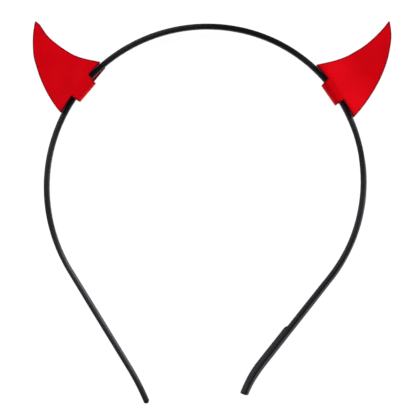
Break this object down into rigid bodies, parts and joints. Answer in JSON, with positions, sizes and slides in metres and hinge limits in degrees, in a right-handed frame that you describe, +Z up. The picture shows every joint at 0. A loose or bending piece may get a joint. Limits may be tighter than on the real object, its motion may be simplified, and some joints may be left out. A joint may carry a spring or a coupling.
{
  "type": "devil horns headband",
  "caption": "Thin satin-covered hoop headband with small red fabric horns folded over it near the crown.",
  "frame": {"origin": "on the surface that the headband lies on, under the middle of its overall box", "axes": "+Y towards the crown, +Z up from the surface, across the strip's width, +X to the right as seen from +Z"},
  "size_m": [0.1382, 0.1478, 0.0078],
  "materials": {
    "band_satin": "black satin ribbon with a fine lengthwise weave and a soft sheen",
    "horn_fabric": "smooth red fabric-faced sheet with cut edges and a faint sheen"
  },
  "bodies": {
    "root": {"headband": "band_satin", "horn_left": "horn_fabric", "horn_right": "horn_fabric"}
  },
  "joints": []
}
